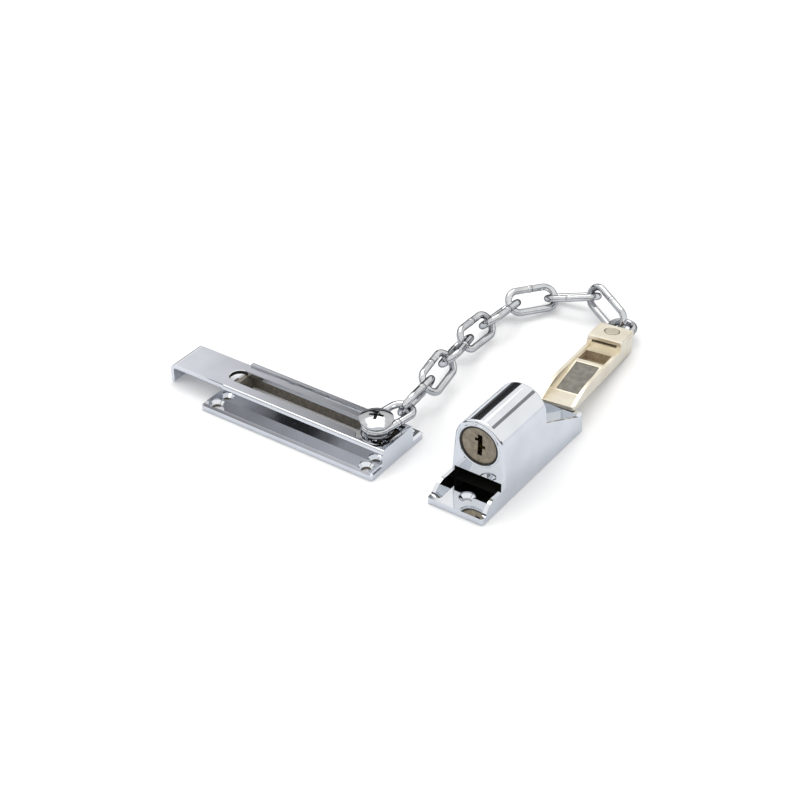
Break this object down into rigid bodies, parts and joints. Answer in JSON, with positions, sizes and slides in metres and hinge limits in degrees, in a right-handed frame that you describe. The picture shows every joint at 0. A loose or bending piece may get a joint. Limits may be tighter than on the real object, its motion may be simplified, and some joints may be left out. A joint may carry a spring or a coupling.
{
  "type": "door security chain",
  "caption": "Chrome door security chain: slotted slide plate with sliding bar and stud, a length of oval-link chain, a tray-shaped tongue and a key-locked keeper.",
  "frame": {"origin": "middle of the door plate's four screw holes, on its back face", "axes": "+X along the track towards its closed end, +Y to the rear, +Z away from the door"},
  "size_m": [0.1785, 0.1799, 0.0373],
  "materials": {
    "bright_chrome": "mirror plated",
    "chain_chrome": "barrel-plated chrome",
    "satin_nickel": "warm satin nickel",
    "insert_steel": "dull hardened steel",
    "plug_nickel": "dull nickel, brownish",
    "zinc_grey": "bare die casting",
    "spring_steel": "oiled steel",
    "wafer_brass": "stamped"
  },
  "bodies": {
    "fixed_plates": {"door_plate": "bright_chrome", "lock_body": "bright_chrome", "lock_barrel": "zinc_grey", "barrel_grub_screw": "spring_steel"},
    "slide_bar": {"slide_bar": "bright_chrome"},
    "stud": {"stud": "bright_chrome", "stud_washer": "bright_chrome", "stud_spring_washer": "spring_steel", "stud_upper_washer": "bright_chrome", "stud_screw": "bright_chrome"},
    "link_01": {"link_01": "chain_chrome"},
    "link_02": {"link_02": "chain_chrome"},
    "link_03": {"link_03": "chain_chrome"},
    "link_04": {"link_04": "chain_chrome"},
    "link_05": {"link_05": "chain_chrome"},
    "link_06": {"link_06": "chain_chrome"},
    "link_07": {"link_07": "chain_chrome"},
    "link_08": {"link_08": "chain_chrome"},
    "link_09": {"link_09": "chain_chrome"},
    "link_10": {"link_10": "chain_chrome"},
    "tongue": {"tongue": "satin_nickel", "tongue_insert": "insert_steel", "tongue_cap": "satin_nickel", "tongue_rivet": "satin_nickel"},
    "key_plug": {"lock_plug": "plug_nickel", "lock_wafers": "wafer_brass", "plug_clip": "spring_steel", "lock_cam": "zinc_grey"},
    "locking_bolt": {"locking_bolt": "zinc_grey"}
  },
  "joints": [
    {"name": "bar_slide", "type": "slide", "parent": "fixed_plates", "child": "slide_bar", "axis": [1, 0, 0], "range_m": [0, 0.0149]},
    {"name": "stud_slide", "type": "slide", "parent": "fixed_plates", "child": "stud", "axis": [1, 0, 0], "range_m": [-0.0676, 0]},
    {"name": "link_01_swing", "type": "hinge", "parent": "stud", "child": "link_01", "pos_m": [0.0365, 0, 0.0136], "axis": [0, 0, 1], "range_deg": [0, 30]},
    {"name": "link_02_swing", "type": "hinge", "parent": "link_01", "child": "link_02", "pos_m": [0.0392, 0.01837, 0.01367], "axis": [0, 0, 1], "range_deg": [0, 12]},
    {"name": "link_03_swing", "type": "hinge", "parent": "link_02", "child": "link_03", "pos_m": [0.03657, 0.04039, 0.01253], "axis": [0, 0, 1], "range_deg": [0, 20]},
    {"name": "link_04_swing", "type": "hinge", "parent": "link_03", "child": "link_04", "pos_m": [0.03307, 0.06231, 0.01285], "axis": [0, 0, 1], "range_deg": [0, 20]},
    {"name": "link_05_swing", "type": "hinge", "parent": "link_04", "child": "link_05", "pos_m": [0.02821, 0.08376, 0.00998], "axis": [0, 0, 1], "range_deg": [0, 20]},
    {"name": "link_06_swing", "type": "hinge", "parent": "link_05", "child": "link_06", "pos_m": [0.02752, 0.10592, 0.00857], "axis": [0, 0, 1], "range_deg": [0, 20]},
    {"name": "link_07_swing", "type": "hinge", "parent": "link_06", "child": "link_07", "pos_m": [0.02775, 0.12808, 0.00776], "axis": [0, 0, 1], "range_deg": [0, 20]},
    {"name": "link_08_swing", "type": "hinge", "parent": "link_07", "child": "link_08", "pos_m": [0.03854, 0.14741, 0.00545], "axis": [0, 0, 1], "range_deg": [0, 8]},
    {"name": "link_09_swing", "type": "hinge", "parent": "link_08", "child": "link_09", "pos_m": [0.05886, 0.15347, 0.0111], "axis": [0, 0, 1], "range_deg": [0, 20]},
    {"name": "link_10_swing", "type": "hinge", "parent": "link_09", "child": "link_10", "pos_m": [0.07911, 0.14577, 0.0056], "axis": [0, 0, 1], "range_deg": [-12, 12]},
    {"name": "tongue_swing", "type": "hinge", "parent": "link_10", "child": "tongue", "pos_m": [0.08309, 0.12802, 0.00705], "axis": [-0.0158, 0.129, 0.9915], "range_deg": [-2.5, 2.5]},
    {"name": "key_turn", "type": "hinge", "parent": "fixed_plates", "child": "key_plug", "pos_m": [0.08999, -0.00066, 0.025], "axis": [0, 1, 0], "range_deg": [0, 90]},
    {"name": "bolt_drop", "type": "slide", "parent": "fixed_plates", "child": "locking_bolt", "axis": [0, 0, -1], "range_m": [0, 0.00505]}
  ],
  "couplings": [
    {"joint": "bolt_drop", "follows": "key_turn", "m_per_rad": 0.0031831}
  ]
}
